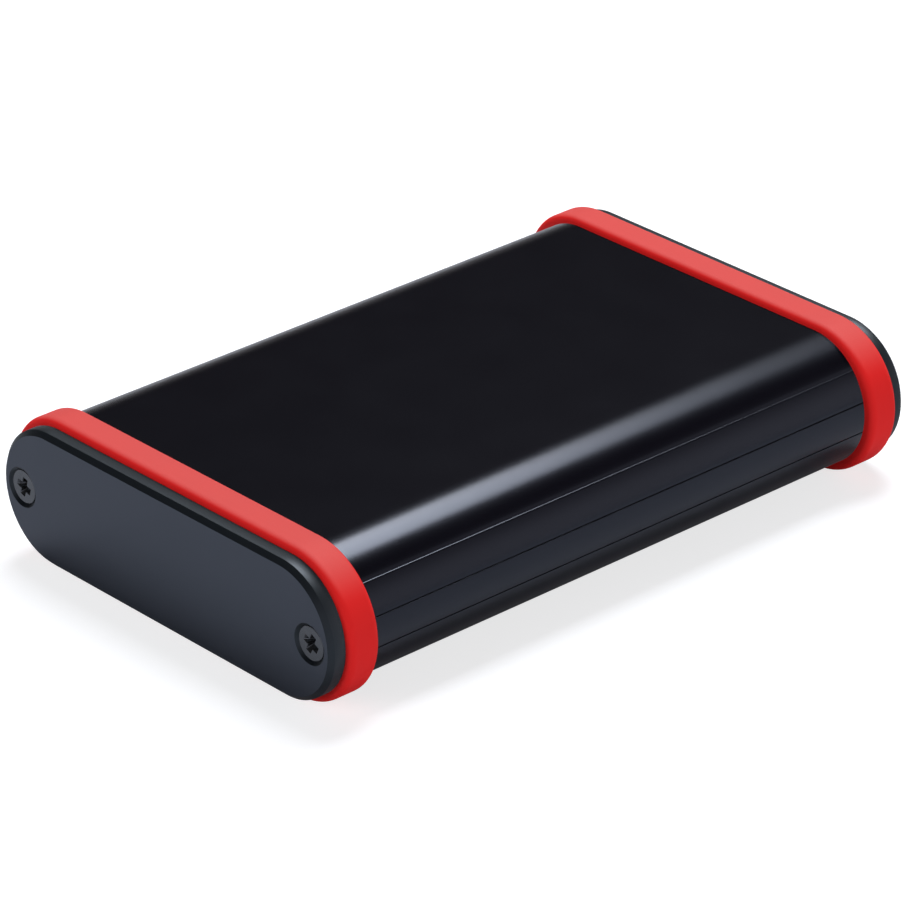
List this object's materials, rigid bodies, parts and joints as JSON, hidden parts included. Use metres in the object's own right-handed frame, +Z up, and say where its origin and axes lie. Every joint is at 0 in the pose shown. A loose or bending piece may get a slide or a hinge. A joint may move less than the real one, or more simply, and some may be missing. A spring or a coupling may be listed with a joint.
{
  "type": "extruded aluminium enclosure",
  "caption": "Flat electronics case: a black anodised extruded aluminium tube with half-round sides, closed by screwed end panels, with red rubber bumper bands round both ends.",
  "frame": {"origin": "on the ground under the middle of the case, where the bumper bands stand", "axes": "+X across the width, +Y from the front panel to the rear panel, +Z up"},
  "size_m": [0.0744, 0.11, 0.0234],
  "materials": {
    "tube": "satin black anodised extrusion",
    "panel": "satin black anodised plate, milled edge",
    "bumper": "matte red silicone rubber",
    "screw": "black plated steel"
  },
  "bodies": {
    "root": {"body": "tube", "front_panel": "panel", "rear_panel": "panel", "front_bumper": "bumper", "rear_bumper": "bumper", "front_screw_left": "screw", "front_screw_right": "screw", "rear_screw_left": "screw", "rear_screw_right": "screw"}
  },
  "joints": []
}
